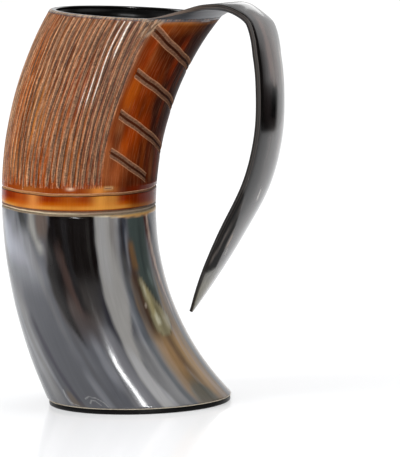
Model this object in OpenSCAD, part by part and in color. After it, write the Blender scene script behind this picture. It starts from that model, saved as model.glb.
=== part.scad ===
// Drinking cup made from one curved cattle horn that stands on its wide, cut end.
// The horn leans back and curves forward to a level mouth. A wide tongue of the same
// horn is left standing at the front of the mouth, bent over with heat and swept
// down to a free point, and is the handle. The wide end is closed by a plug and a disc.
// Middle of the foot at the origin, handle towards +X, mouth towards +Z, in mm.

/* [Horn] */
// Height of the middle of the mouth above the table
mouth_h = 169.4; // [110:0.1:260]
// Fall of the mouth towards the handle, in degrees
mouth_fall = 5; // [0:0.5:10]
// How far the back of the horn stands out behind the middle of the foot
back_reach = 57.7; // [40:0.1:80]
// Height at which the back stands out farthest
back_mid_h = 84.5; // [70:0.1:100]
// How far the back comes in between there and the foot
back_foot_in = 16.5; // [5:0.1:30]
// How far the back comes in between there and the mouth
back_mouth_in = 24.8; // [10:0.1:40]
// Distance of the hollow front from the middle of the foot, at its deepest
front_reach = 9.4; // [0:0.1:20]
// Height at which the front is deepest
front_mid_h = 77.6; // [65:0.1:95]
// How far the front runs out between there and the foot
front_foot_out = 31.7; // [20:0.1:45]
// How far the front runs out between there and the mouth
front_mouth_out = 37.6; // [20:0.1:50]
// Half the depth of the horn across the handle's plane, at the foot
foot_half = 33.6; // [28:0.1:45]
// How far each side comes in from there, halfway up
middle_side_in = 0.1; // [-11.4:0.1:5.6]
// How far each side comes in from the foot, at the mouth
mouth_side_in = 1; // [-11.4:0.1:7.6]
// Wall thickness at the foot
foot_wall = 4.5; // [3:0.1:7]
// Wall thickness at the mouth
mouth_wall = 2.6; // [2:0.1:4]

/* [Turned band] */
// Height of the upper groove
high_groove_h = 94.8; // [90:0.1:110]
// Height of the middle of the lower pair of grooves
low_groove_h = 86.6; // [70:0.1:89]
// Distance between the two lower grooves
groove_pitch = 2; // [1.8:0.1:3]
// Width of one groove
groove_w = 1.5; // [1:0.1:1.7]
// Depth of one groove
groove_d = 0.5; // [0.2:0.1:0.9]

/* [Foot] */
// Thickness of the disc that the cup stands on
disc_t = 2.2; // [1.5:0.1:5]
// How far the disc stays inside the edge of the horn
disc_inset = 0.6; // [0.2:0.1:1.5]
// Thickness of the line of glue between disc and horn
glue_t = 0.4; // [0.2:0.1:1]
// Thickness of the plug inside the horn
plug_t = 12; // [8:0.5:20]
// Width and height of the seal around the top of the plug
seal_w = 3; // [1.5:0.1:5]

/* [Lining] */
// Thickness of the lining
lining_t = 0.6; // [0.4:0.1:1.2]
// How far the lining stays below the mouth
lining_drop = 1.2; // [0.5:0.1:4]

/* [Handle] */
// Half the angle that the root of the handle takes up around the mouth, in degrees
root_half_angle = 64; // [45:1:75]
// How far the handle stands out in front of the mouth
handle_reach = 25.4; // [18:0.1:45]
// How far the point hangs below the mouth
handle_drop = 126.9; // [90:0.1:135]
// Half the width of the handle past its arch
handle_half = 15.8; // [12:0.1:22]
// Thickness of the handle in its middle
handle_t = 2.8; // [2.2:0.1:4]
// Half the width of the point
tip_half = 0.8; // [0.5:0.1:2]
// Thickness of the point
tip_t = 1.4; // [1:0.1:2]
// How far the outside of the handle is crowned
crown_h = 2.4; // [0.5:0.1:4]
// How far one edge of the arch is bent below the other, counted from the middle
handle_lean = 1.3; // [0:0.1:3]
// How far the edges dip just past the root
root_dip = 2.4; // [0:0.1:4]

/* [Hidden] */

seat_h = disc_t + glue_t;
plug_top = seat_h + plug_t;
seal_top = plug_top + seal_w;
lining_top = mouth_h - lining_drop;
around = 60;
settle_steps = 4;
middle_half = foot_half - middle_side_in;
mouth_half = foot_half - mouth_side_in;
// The wall thins quickly above the foot
wall_power = 0.7;
fall_slope = tan(mouth_fall);

// Side lines of the horn, each of two arcs that meet upright
function arc_r(h, bow) = (h * h + bow * bow) / (2 * bow);
back_low_r = arc_r(back_mid_h - seat_h, back_foot_in);
back_high_r = arc_r(mouth_h - back_mid_h, back_mouth_in);
front_low_r = arc_r(front_mid_h - seat_h, front_foot_out);
front_high_r = arc_r(mouth_h - front_mid_h, front_mouth_out);
function arc_out(r, h) = r - sqrt(max(0, r * r - h * h));
function back_x(z) = arc_out(z < back_mid_h ? back_low_r : back_high_r, z - back_mid_h)
    - back_reach;
function front_x(z) = arc_out(z < front_mid_h ? front_low_r : front_high_r,
    z - front_mid_h) + front_reach;
foot_x = (back_x(seat_h) + front_x(seat_h)) / 2;

// Sections of the horn: ellipses in planes that tip from level at the foot to the mouth
function up_share(z) = (z - seat_h) / (mouth_h - seat_h);
function slope_at(z) = fall_slope * up_share(z);
function half_depth(z) = let (u = up_share(z))
    foot_half * (1 - u) * (1 - 2 * u) + middle_half * 4 * u * (1 - u)
    + mouth_half * u * (2 * u - 1);
function settle(z, k, a, n) = n == 0 ? a
    : settle(z, k, (front_x(z - k * a) - back_x(z + k * a)) / 2, n - 1);
function half_length(z) = settle(z, slope_at(z), middle_half, settle_steps);
function middle_x(z) = let (k = slope_at(z), a = half_length(z))
    (front_x(z - k * a) + back_x(z + k * a)) / 2 - foot_x;
function wall(z) = foot_wall
    + (mouth_wall - foot_wall) * pow(max(0, up_share(z)), wall_power);
function section_point(z, inset, angle) = let (
        b = half_depth(z),
        a = half_length(z),
        x = a * (1 - inset / b) * cos(angle)
    ) [middle_x(z) + x, (b - inset) * sin(angle), z - slope_at(z) * x];
function section(z, inset) = [for (i = [0 : around - 1])
    section_point(z, inset, i * 360 / around)];

// Skin between loops of points, as a closed ring or with its two ends capped.
// Each four-sided patch is cut from its lower left to its upper right corner,
// so that touching pieces share their facets.
function patch(a, b, c, d, rising) = rising ? [[a, b, c], [a, c, d]]
    : [[a, b, d], [b, c, d]];
module skin(loops, ring) {
    n = len(loops[0]);
    m = len(loops);
    last = ring ? m - 1 : m - 2;
    sides = [for (i = [0 : last], j = [0 : n - 1]) let (
            k = (i + 1) % m,
            l = (j + 1) % n
        ) each patch(i * n + j, k * n + j, k * n + l, i * n + l,
            loops[k][0][2] > loops[i][0][2])];
    caps = ring ? [] : [[for (j = [0 : n - 1]) j],
        [for (j = [n - 1 : -1 : 0]) (m - 1) * n + j]];
    polyhedron(points = [for (loop = loops) each loop], faces = concat(sides, caps),
        convexity = m);
}

// Heights of the sections
outer_steps = 17;
inner_steps = 11;
function groove(h) = [[h - groove_w / 2, 0], [h - groove_w / 4, groove_d],
    [h + groove_w / 4, groove_d], [h + groove_w / 2, 0]];
grooves = concat(groove(low_groove_h - groove_pitch / 2),
    groove(low_groove_h + groove_pitch / 2), groove(high_groove_h));
band_low = grooves[0][0] - groove_w;
band_high = high_groove_h + 2 * groove_w;
outer_levels = concat(
    [for (i = [0 : outer_steps]) let (z = seat_h + (band_low - seat_h) * i / outer_steps)
        if (i % 2 == 0) [z, 0]],
    grooves,
    [for (i = [0 : outer_steps]) let (z = band_high + (mouth_h - band_high) * i / outer_steps)
        if (i % 2 == 1) [z, 0]]);
wet_levels = concat([seal_top], [for (i = [1 : inner_steps])
    seal_top + (lining_top - seal_top) * i / inner_steps]);

module horn_body() {
    outside = [for (level = outer_levels) section(level[0], level[1])];
    inside = [for (z = concat([seat_h, plug_top], wet_levels, [mouth_h]))
        section(z, wall(z))];
    color([0.46, 0.27, 0.13])
        skin(concat(outside, [for (i = [len(inside) - 1 : -1 : 0]) inside[i]]), true);
}

module inner_lining() {
    outside = concat([section(plug_top, wall(plug_top) + seal_w)],
        [for (z = wet_levels) section(z, wall(z))]);
    inside = concat([section(plug_top + lining_t, wall(plug_top) + seal_w + lining_t)],
        [for (z = wet_levels) section(z == seal_top ? z + lining_t : z, wall(z) + lining_t)]);
    color([0.06, 0.06, 0.06])
        skin(concat(outside, [for (i = [len(inside) - 1 : -1 : 0]) inside[i]]), false);
}

module base_plug() {
    color([0.55, 0.4, 0.25])
        skin([section(seat_h, wall(seat_h)), section(plug_top, wall(plug_top))], false);
}

module seal_bead() {
    color([0.75, 0.62, 0.35])
        skin([section(plug_top, wall(plug_top)), section(seal_top, wall(seal_top)),
            section(plug_top, wall(plug_top) + seal_w)], true);
}

module slab(low, thick, inset) {
    outline = [for (p = section(seat_h, inset)) [p[0], p[1]]];
    translate([0, 0, low])
        linear_extrude(thick)
            polygon(outline);
}

module glue_line() {
    color([0.8, 0.74, 0.62])
        slab(disc_t, glue_t, disc_inset / 2);
}

module foot_disc() {
    color([0.07, 0.07, 0.07])
        slab(0, disc_t, disc_inset);
}

// Line of the handle's middle, as shares of its reach and its drop, from root to point
path_shares = [[0, 0], [0.2, 0.026], [0.4, 0.041], [0.62, 0.029], [0.845, -0.022],
    [0.97, -0.109], [1.015, -0.235], [0.95, -0.4], [0.69, -0.57], [0.18, -0.743],
    [-0.345, -0.905], [-0.655, -0.997]];
path_steps = 5;
across = 10;
// Lengths along the handle, as shares of the whole
spread_share = 0.16;
neck_share = 0.12;
turn_share = 0.09;
crown_share = 0.25;
taper_share = 0.6;
// How gently each of them runs out
spread_power = 1.4;
neck_power = 1.5;
turn_power = 2;
crown_power = 1.5;
taper_power = 2.6;

root_b = half_depth(mouth_h) - mouth_wall / 2;
root_a = half_length(mouth_h) * root_b / half_depth(mouth_h);
root_at = [middle_x(mouth_h) + root_a, mouth_h - fall_slope * root_a];
root_half = root_b * sin(root_half_angle);
root_bow = root_a * (1 - cos(root_half_angle));
path = [for (p = path_shares)
    [root_at[0] + p[0] * handle_reach, root_at[1] + p[1] * handle_drop]];
path_last = len(path) - 1;
function node_at(i) = path[min(max(i, 0), path_last)];
function curve_at(i, t) = let (p = node_at(i - 1), q = node_at(i), r = node_at(i + 1),
        s = node_at(i + 2))
    q + t * (r - p) / 2 + t * t * (2 * p - 5 * q + 4 * r - s) / 2
    + t * t * t * (3 * q - p - 3 * r + s) / 2;
line = [for (i = [0 : path_last - 1], k = [0 : path_steps - 1]) curve_at(i, k / path_steps),
    path[path_last]];
line_last = len(line) - 1;
function length_to(i, sum = 0) = i == 0 ? sum
    : length_to(i - 1, sum + norm(line[i] - line[i - 1]));
line_length = length_to(line_last);
function fade(s, end, power) = pow(max(0, 1 - s / end), power);
function tapered(s) = 1 - pow(max(0, s - taper_share) / (1 - taper_share), taper_power);
function half_at(s) = let (neck = fade(s, neck_share, neck_power))
    root_half * neck + (tip_half + (handle_half - tip_half) * tapered(s)) * (1 - neck);
function thick_at(s) = let (neck = fade(s, spread_share, spread_power))
    mouth_wall * neck + (tip_t + (handle_t - tip_t) * tapered(s)) * (1 - neck);
// Outward direction across the handle's thickness, turned at the root to lie in the mouth
function out_angle(i, s) = let (
        way = line[min(i + 1, line_last)] - line[max(i - 1, 0)],
        bent = atan2(way[1], way[0]) + 90,
        turn = fade(s, turn_share, turn_power)
    ) bent * (1 - turn) + (180 - mouth_fall) * turn;
function strap_point(i, u, side) = let (
        s = length_to(i) / line_length,
        spread = fade(s, spread_share, spread_power),
        crown = crown_h * pow(1 - fade(s, crown_share, 1), crown_power) * tapered(s),
        dip = root_dip * 4 * spread * spread * (1 - spread),
        angle = out_angle(i, s),
        out = [cos(angle), sin(angle)],
        to_edge = spread * root_bow * [-1, fall_slope] - [0, dip] - crown * out,
        round = (1 - cos(root_half_angle * u)) / (1 - cos(root_half_angle)),
        bow = spread * round + (1 - spread) * u * u,
        roll = root_half_angle * u * spread,
        lift = side * thick_at(s) / 2,
        y = half_at(s) * (spread * sin(root_half_angle * u) / sin(root_half_angle)
            + (1 - spread) * u),
        p = line[i] + bow * to_edge + lift * cos(roll) * out
    ) [p[0], y - lift * sin(roll), p[1] - handle_lean * u * (1 - spread) * tapered(s)];
function strap_loop(i) = concat(
    [for (j = [0 : across]) strap_point(i, 2 * j / across - 1, 1)],
    [for (j = [across : -1 : 0]) strap_point(i, 2 * j / across - 1, -1)]);

module horn_handle() {
    loops = [for (i = [0 : line_last]) strap_loop(i)];
    n = 2 * (across + 1);
    sides = [for (i = [0 : line_last - 1], j = [0 : n - 1]) let (
            k = (i + 1) * n,
            l = (j + 1) % n
        ) each patch(i * n + j, i * n + l, k + l, k + j, true)];
    ends = [for (j = [0 : across - 1]) let (
            a = n - 1 - j,
            k = line_last * n
        ) each concat(patch(j, a, a - 1, j + 1, true),
            patch(k + j, k + j + 1, k + a - 1, k + a, true))];
    color([0.2, 0.17, 0.15])
        polyhedron(points = [for (loop = loops) each loop], faces = concat(sides, ends),
            convexity = across);
}

horn_body();
horn_handle();
inner_lining();
base_plug();
seal_bead();
glue_line();
foot_disc();
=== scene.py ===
"""Drinking cup made of one cattle horn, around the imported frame, on a white studio floor.

The foot's middle is at the origin, the mouth is up +Z and the handle bends out to +X.
Sizes are in millimetres and angles in degrees until a mesh is written, in metres.
"""
import math

import bpy
import numpy as np
from mathutils import Matrix, Vector


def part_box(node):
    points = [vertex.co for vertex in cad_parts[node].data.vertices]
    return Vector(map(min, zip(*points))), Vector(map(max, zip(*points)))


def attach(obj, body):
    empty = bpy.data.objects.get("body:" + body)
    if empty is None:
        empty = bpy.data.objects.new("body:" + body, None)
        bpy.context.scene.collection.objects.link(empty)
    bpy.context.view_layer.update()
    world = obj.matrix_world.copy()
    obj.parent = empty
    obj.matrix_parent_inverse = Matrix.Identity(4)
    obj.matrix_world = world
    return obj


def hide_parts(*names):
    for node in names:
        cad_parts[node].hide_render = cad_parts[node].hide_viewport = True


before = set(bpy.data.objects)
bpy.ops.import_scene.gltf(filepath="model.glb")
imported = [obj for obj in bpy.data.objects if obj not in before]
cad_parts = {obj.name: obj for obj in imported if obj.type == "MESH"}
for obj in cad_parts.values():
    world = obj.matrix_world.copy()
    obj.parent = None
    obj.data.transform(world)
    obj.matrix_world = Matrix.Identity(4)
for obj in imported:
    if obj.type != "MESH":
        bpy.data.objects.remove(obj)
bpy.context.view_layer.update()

# ---------------------------------------------------------------- horn body
# The cup itself is the wide end of a cattle horn, sawn off, scraped and polished. Its upper
# part is dyed tan and carved with a gouge: flutes down the back and sides, pairs of slanting
# cuts on the smooth panel under the handle, and three turned grooves at the dye's lower edge.
MM = 0.001
MOUTH_H, SEAT_H, MOUTH_FALL = 169.4, 2.6, 5.0
BACK_MID_H, BACK_REACH, BACK_FOOT_IN, BACK_MOUTH_IN = 84.5, 57.7, 16.5, 24.8
FRONT_MID_H, FRONT_REACH, FRONT_FOOT_OUT, FRONT_MOUTH_OUT = 77.6, 9.4, 31.7, 37.6
FOOT_HALF, MIDDLE_HALF, MOUTH_HALF = 33.6, 33.5, 32.6
FOOT_WALL, MOUTH_WALL, WALL_POWER = 4.5, 2.6, 0.7
FALL_SLOPE = math.tan(math.radians(MOUTH_FALL))
SETTLE_STEPS = 4


def linear(code):
    """Linear red, green and blue of an sRGB hex colour: ((c + 0.055) / 1.055) ^ 2.4."""
    c = np.array([int(code[i:i + 2], 16) for i in (1, 3, 5)]) / 255
    return np.where(c <= 0.04045, c / 12.92, ((c + 0.055) / 1.055) ** 2.4)


def ease(low, high, value):
    """0 at `low` and before, 1 at `high` and beyond, and the smooth cubic 3t² - 2t³ between
    them. `low` may be the larger, and then it falls as the value grows."""
    t = np.clip((value - low) / (high - low), 0, 1)
    return t * t * (3 - 2 * t)


def arc_out(height, run, bow):
    """How far an arc has left its upright tangent, r - sqrt(r² - height²), where the radius is
    r = (run² + bow²) / 2 bow."""
    r = (run * run + bow * bow) / (2 * bow)
    return r - np.sqrt(np.maximum(0, r * r - height * height))


def side_line(z, middle_h, foot_bow, mouth_bow):
    """Bow of a side line of the horn at height z: one arc below middle_h, another above it."""
    h = z - middle_h
    return np.where(h < 0, arc_out(h, middle_h - SEAT_H, foot_bow),
                    arc_out(h, MOUTH_H - middle_h, mouth_bow))


def back_x(z):
    """The horn's back at height z, in the handle's plane: its bow less the back's reach."""
    return side_line(z, BACK_MID_H, BACK_FOOT_IN, BACK_MOUTH_IN) - BACK_REACH


def front_x(z):
    """The horn's front at height z, in the handle's plane: its bow and the front's reach."""
    return side_line(z, FRONT_MID_H, FRONT_FOOT_OUT, FRONT_MOUTH_OUT) + FRONT_REACH


def section_sizes(z):
    """Half length, half depth, middle x and slope of the sections at heights z. The planes tip
    from level at the foot to the mouth's fall, and a section reaches both side lines."""
    up = (z - SEAT_H) / (MOUTH_H - SEAT_H)
    slope = FALL_SLOPE * up
    depth = (FOOT_HALF * (1 - up) * (1 - 2 * up) + MIDDLE_HALF * 4 * up * (1 - up)
             + MOUTH_HALF * up * (2 * up - 1))
    length = np.full_like(depth, MIDDLE_HALF)
    for _ in range(SETTLE_STEPS):
        front, back = front_x(z - slope * length), back_x(z + slope * length)
        length = (front - back) / 2
    middle = (front_x(z - slope * length) + back_x(z + slope * length)) / 2
    foot = float(front_x(np.float64(SEAT_H)) + back_x(np.float64(SEAT_H))) / 2
    return length, depth, middle - foot, slope


def wall(z):
    """Wall thickness, foot_wall + (mouth_wall - foot_wall) up^power."""
    up = np.maximum(0, (z - SEAT_H) / (MOUTH_H - SEAT_H))
    return FOOT_WALL + (MOUTH_WALL - FOOT_WALL) * up ** WALL_POWER


def horn_points(angle, z, inset):
    """Points of the horn at an angle around it (0 is the handle's side) and a section height,
    `inset` inside its outer face: (middle + x, (b - inset) sin, z - slope x)."""
    length, depth, middle, slope = section_sizes(z)
    turn = np.radians(angle)
    x = length * (1 - inset / depth) * np.cos(turn)
    return np.stack(np.broadcast_arrays(
        middle + x, (depth - inset) * np.sin(turn), z - slope * x), -1)


# Rows of the skin, from the foot's outer edge up, over the rim and down the inside, closest
# where it is grooved, and columns that follow the flutes, with one on each flute's middle line
PANEL_HALF, PANEL_COLUMNS = 52.0, 120
FLUTES_A_SIDE, FLUTE_COLUMNS = 30, 7
FLUTE_LOW, FLUTE_HIGH = 98.7, 168.0
PITCH = (180 - PANEL_HALF) / FLUTES_A_SIDE
CARVED_LOW, BUFFED_STEP, GROOVE_STEP, BAND_STEP, CARVED_STEP = 82.5, 1.6, 0.27, 0.6, 0.84
FOOT_ROUND = np.array([[0, 0.55], [0.08, 0.25], [0.25, 0.07], [0.55, 0]])
RIM_ROUND = np.array([[-0.7, 0], [-0.4, 0.07], [-0.17, 0.22], [-0.04, 0.42], [0, 0.68],
                      [0, 2.0], [-0.1, 2.3], [-0.3, 2.52], [-0.7, 2.6]])
low_rows = np.concatenate([np.arange(SEAT_H + 1.0, 10, BAND_STEP),
                           np.arange(10, CARVED_LOW - 1, BUFFED_STEP)])
carved_rows = np.concatenate([np.arange(low, high, step) for low, high, step in (
    (CARVED_LOW, 85.3, 0.7), (85.3, 89.3, GROOVE_STEP), (89.3, 93.4, BAND_STEP),
    (93.4, 96.1, GROOVE_STEP), (96.1, 98.0, BAND_STEP), (98.0, 99.9, 0.4),
    (100.0, MOUTH_H - 1.0, CARVED_STEP))])
inner_rows = np.array([164.0, 150, 120, 90, 60, 30, 14.6, SEAT_H])
outer_z = np.concatenate([SEAT_H + FOOT_ROUND[:, 0], low_rows, carved_rows])
row_z = np.concatenate([outer_z, MOUTH_H + RIM_ROUND[:, 0], inner_rows])
row_in = np.concatenate([FOOT_ROUND[:, 1], 0 * low_rows, 0 * carved_rows, RIM_ROUND[:, 1],
                         wall(inner_rows)])
skin_rows = len(outer_z)
flute_steps = (np.arange(FLUTES_A_SIDE * FLUTE_COLUMNS) + 0.5) * PITCH / FLUTE_COLUMNS
panel_steps = (np.arange(PANEL_COLUMNS) + 0.5) * 2 * PANEL_HALF / PANEL_COLUMNS
column = np.concatenate([flute_steps - 180, panel_steps - PANEL_HALF, flute_steps + PANEL_HALF])
column, level = np.meshgrid(column, row_z)
side = np.abs(column)
# Near the mouth the flutes lean away from the handle, and all along they sway, as cut by hand:
# degrees, swings round the horn, mm of height to a radian, and start
FLUTE_LEAN = 4.6
FLUTE_WAVES = ((0.7, 5, 23, 0), (0.5, 9, -31, 1), (0.35, 23, 27, 0), (0.2, 41, -21, 0))
lean = FLUTE_LEAN * ease(132, 172, level) ** 1.3 * ease(175, 115, side)
led = np.sign(column) * (side + lean * np.minimum(1, side / PANEL_HALF))
theta = led.copy()
for _ in range(SETTLE_STEPS + 2):
    shift = sum(size * np.sin(count * np.radians(theta) + level / run + start)
                for size, count, run, start in FLUTE_WAVES)
    theta = led - shift * ease(84, 97, level)
inset = np.repeat(row_in[:, None], theta.shape[1], 1)
# The rim stays square where the handle grows out of it
ROOT_HALF_ANGLE = 64.0
at_root = ease(ROOT_HALF_ANGLE + 2, ROOT_HALF_ANGLE - 3, np.abs(theta))
rim = slice(skin_rows, skin_rows + len(RIM_ROUND))
square = np.where(RIM_ROUND[:, 1] < 1.3, 0, MOUTH_WALL)[:, None]
inset[rim] += (square - inset[rim]) * at_root[rim]
flat_top = np.where(RIM_ROUND[:, 0] < -0.3, MOUTH_H - 0.03, MOUTH_H)[:, None]
level[rim] += (flat_top - level[rim]) * at_root[rim] * (RIM_ROUND[:, 0] > -0.5)[:, None]

# Gouge cuts, as the distance in mm from each point to the edge of the nearest cut, less than
# zero inside it. A degree round the horn is DEGREE mm. Each flute has a width of its own, which
# sways along it and narrows to its round lower end, and some are shallow at the back.
DEGREE, NO_CUT, PAST_CUTS = 0.585, 50.0, 5.0
rng = np.random.default_rng(7)
flute_half = rng.uniform(0.46, 0.7, 2 * FLUTES_A_SIDE)
flute_end = rng.uniform(-1.2, 1.2, 2 * FLUTES_A_SIDE)
start = rng.uniform(0, 2 * math.pi, (5, 2 * FLUTES_A_SIDE))
radians = np.radians(theta)
phase = (side - PANEL_HALF) / PITCH
index = np.clip(np.floor(phase), 0, FLUTES_A_SIDE - 1).astype(int)
index = index + np.where(column > 0, FLUTES_A_SIDE, 0)
half = (flute_half[index] + 0.1 * np.sin(level / 8.7 + start[0][index])
        + 0.04 * np.sin(level / 2.1 + start[1][index]))
half = half * (1 - 0.5 * ease(116, 124, side) * ease(150, 140, side) * (index % 2))
ends = FLUTE_LOW + flute_end[index] - 1.6 * ease(95, 105, side)
half = half * (0.4 + 0.6 * ease(-0.5, 3.5, level - ends))
stray = 0.035 * np.sin(level / 9.3 + start[3][index])
across = np.where(phase < 0, -phase + 0.5, np.abs(phase - np.floor(phase) - 0.5 - stray))
beyond = np.maximum(0, np.maximum(ends + half - level, level - FLUTE_HIGH))
flute = np.hypot(across * PITCH * DEGREE, beyond) - half
# Which side of the cut is nearest, which carries painted light and painted shade on the rims:
# 1 the left or upper one, painted lit, -1 the other, painted in shade, and more where the
# polished edge has a painted glint, most on the few flutes that face the lamp
glint = np.clip(0.68 + 0.4 * np.sin(level / 11 + start[4][index])
                + 0.25 * np.sin(level / 3.9 + start[2][index]), 0.15, 1.1)
glint = glint * (1 - 0.3 * ease(108, 122, side))
# Painted glints: a white highlight painted on the rims of a few flutes near the mouth
painted_glint_boost = (1.9 * ease(126, 140, level) * ease(6.5, 3, np.abs(theta + 75.5))
          + 1.5 * ease(146, 160, level) * ease(13, 5, np.abs(theta + 73)))
glint = glint + painted_glint_boost * (0.8 + 0.3 * np.sin(level / 9 + start[1][index]))
painted_light_side = -np.sin(2 * math.pi * phase) * glint * ease(1.2, 0.6, flute)

# Pairs of slanting cuts that fall across the panel from its near to its far edge: start angle
# and height, drop to the middle of the panel, how much of that comes early, and end angle
SLANTS = ((54.5, 166.4, 15.5, 0.35, 49), (49.5, 148.0, 13.6, 0.15, 49),
          (49.5, 130.6, 15.0, 0.15, 49), (49.5, 114.2, 16.2, 0.1, -11))
SLANT_LOWER, TRACK_OUT, TRACK_HALF, PAIR_REACH = 1.1, 1.0, 0.66, 4.0
slant = np.full_like(level, NO_CUT)
# Distance across the nearest pair from its middle line, whose sign turns from pair to pair so
# that it runs on between them, and 1 along the pair, fading off beyond its ends
pair = np.full_like(level, NO_CUT)
in_pair = np.zeros_like(level)
for number, (begin, top, drop, bend, finish) in enumerate(SLANTS):
    share = 1 + theta / begin
    early = np.minimum(share, 1)
    fallen = drop * (share + bend * np.where(share < 1, share * (1 - share), 1 - share))
    rise = drop * (1 + bend * (1 - 2 * early)) / (begin * DEGREE)
    short = np.maximum(0, np.maximum(-begin - theta, theta - finish)) * DEGREE
    short = np.maximum(short, FLUTE_LOW - 1.5 - level)
    line = top - SLANT_LOWER - fallen + 0.1 * np.sin(radians * 17 + top)
    off = (level - line) / np.sqrt(1 + rise * rise)
    slant = np.minimum(slant, np.hypot(np.abs(np.abs(off) - TRACK_OUT), short) - TRACK_HALF)
    nearest = np.abs(off) < np.abs(pair)
    in_pair = np.where(nearest, ease(0.5, 0, short), in_pair)
    pair = np.where(nearest, off * (-1) ** number, pair)
pair = np.clip(pair, -PAIR_REACH, PAIR_REACH)

# Turned grooves, one above the plain band and two close together below it, none quite level,
# and a short nick of the gouge above them
RING_H, LOW_RING_H, RING_GAP, RING_HALF, FINE_HALF = 94.75, 87.95, 1.45, 0.5, 0.32
NICK_ANGLE, NICK_H, NICK_LONG, NICK_HALF = -47, 97.4, 2.6, 0.3
wave = (0.22 * np.sin(2 * radians + 0.6) + 0.13 * np.sin(5 * radians)
        + 0.06 * np.sin(13 * radians))
fall = 0.55 * np.cos(radians + 0.5)
ring = np.minimum.reduce([
    np.abs(level - RING_H - wave) - RING_HALF,
    np.abs(level - LOW_RING_H + fall - 0.6 * wave) - FINE_HALF,
    np.abs(level - LOW_RING_H + RING_GAP + fall - 0.9 * wave) - RING_HALF])
nick = np.hypot(np.maximum(0, np.abs(theta - NICK_ANGLE) - NICK_LONG) * DEGREE,
                level - NICK_H) - NICK_HALF
# Round the upper turned groove, the upper side is painted lit and the lower side painted in shade
painted_light_side = np.where(ring < 1, np.clip((level - RING_H - wave) / RING_HALF, -0.9, 0.9)
                 * (level > LOW_RING_H + 2), painted_light_side)
upright = np.minimum(flute, np.minimum(ring, nick))
cut = np.minimum(upright, slant)
cut[skin_rows:] = upright[skin_rows:] = PAST_CUTS
CUT_DEPTH, SCRAPED, SWELL = 0.46, 0.06, 0.05
gouged = ease(0.28, -0.42, cut)
scraped = SCRAPED + SWELL * np.sin(7 * radians + level / 9) * np.sin(level / 6.1 + 2 * radians)
joined = 1 - at_root * ease(158, 167, level)
inset[:skin_rows] += (CUT_DEPTH * gouged + scraped * joined)[:skin_rows]

# Colours of the horn under its polish
SLATE, INK, SMOKE, IVORY = "#58595e", "#0e0908", "#989693", "#c4c3ba"
UMBER, BLUE_GREY, TAN, OLIVE, ROSE = "#3f2f28", "#2b2e37", "#836a4c", "#8d8568", "#c9ac9b"
ground = np.broadcast_to(linear(SLATE), theta.shape + (3,)).copy()


def stain(code, weight, onto=None):
    """Moves the ground's colour, or another array's, towards one: g + w (c - g)."""
    onto = ground if onto is None else onto
    onto[:] = onto + weight[..., None] * (linear(code) - onto)


def patch(code, outline, soft, strength=1.0, ends=2.0):
    """Stains an area of the horn's growth given as rows of height, left and right angle; the
    angles are joined by straight lines, and the edges fade over `soft` degrees."""
    height, left, right = np.array(outline, float).T
    wander = 0.7 * np.sin(grain_y / 5.3 + left[0]) + 0.5 * np.sin(grain_y / 1.9 + right[0])
    left = grain_x - np.interp(grain_y, height, left) + wander * soft / 7
    right = np.interp(grain_y, height, right) - grain_x + wander * soft / 7
    inside = ease(-soft / 2, soft / 2, left) * ease(-soft / 2, soft / 2, right)
    inside = inside * ease(-ends, ends, grain_y - height[0])
    stain(code, strength * inside * ease(ends, -ends, grain_y - height[-1]))


def streak(code, top, foot, half, soft, strength=1.0, ends=3.0):
    """One straight streak of the growth from the (angle, height) `top` to `foot`: full strength
    up to `half` degrees from the line between them, fading over `soft` more."""
    half = half + soft / 2
    patch(code, [(foot[1], foot[0] - half, foot[0] + half), (top[1], top[0] - half,
                                                            top[0] + half)], soft, strength, ends)


grain_x, grain_y = theta, level
# The near side, from the back round to the handle
streak("#7e8085", (-136, 92), (-118, 56), 13, 14, 0.9, 9)
streak("#4a4b50", (-112, 40), (-106, 2), 9, 12, 0.8, 12)
streak("#8b8a88", (-133, 52), (-128, 2), 2, 9, 0.6, 9)
# Painted reflections: two soft bluish-white highlights on the near side
streak("#b4b7c4", (-137, 81), (-132, 66), 3, 10, 0.7, 5)
streak("#b4b7c4", (-126, 75), (-119, 65), 1.5, 8, 0.65, 4)
streak("#8f8e92", (-128, 84), (-112, 60), 4, 14, 0.45, 8)
patch("#5e5348", [(2.6, -117, -106), (6, -118, -110), (9.5, -117, -113)], 4, 0.85, 1.5)
streak("#262624", (-119, 92), (-115, 79), 1.8, 7, 0.85, 4)
patch("#b3b1aa", [(69.5, -101.5, -97), (72, -103, -97), (76, -105.5, -101), (80, -107.5, -102.5),
                  (92, -110, -104)], 6, 0.75, 3)
streak("#675a52", (-98, 92), (-96.5, 76), 2.6, 4, 0.9, 3)
streak("#34323c", (-121.5, 41), (-108.5, 3), 0.7, 2.4, 0.9, 5)
streak("#4d403a", (-84, 76), (-77, 36), 8, 9, 0.8, 8)
patch(INK, [(52, -93, -57.5), (60, -95, -57), (72, -93.5, -56.5), (92, -90.5, -56)], 3.5, 1, 7)
patch(INK, [(30, -84, -82), (36, -88, -82.5), (46, -93, -85), (60, -96, -87), (64, -96, -88)],
      4, 0.95, 3)
streak("#4a3a35", (-85.5, 72), (-75, 42), 1.3, 3.4, 0.8, 6)
streak(INK, (-79, 68), (-73.2, 43), 1.2, 2.6, 0.95, 4)
streak("#423c3b", (-80, 44), (-74, 31), 3, 6, 0.5, 5)
streak("#33302f", (-66, 58), (-64, 41), 6, 6, 0.85, 6)
streak("#2d2c33", (-59.5, 52), (-59.3, 18), 0.5, 3, 0.9, 8)
patch("#77777b", [(2, -66, -56), (30, -70, -59), (36, -70, -60)], 4, 0.7, 4)
patch(SMOKE, [(2, -58, -50), (20, -58, -50.5), (34, -57.5, -47), (46, -57.5, -41), (60, -57, -39.5),
              (92, -56.5, -39)], 2.6, 0.97, 2)
patch("#79797a", [(2, -49, -36), (18, -50, -37), (33, -48, -40)], 3.5, 0.9, 5)
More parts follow.
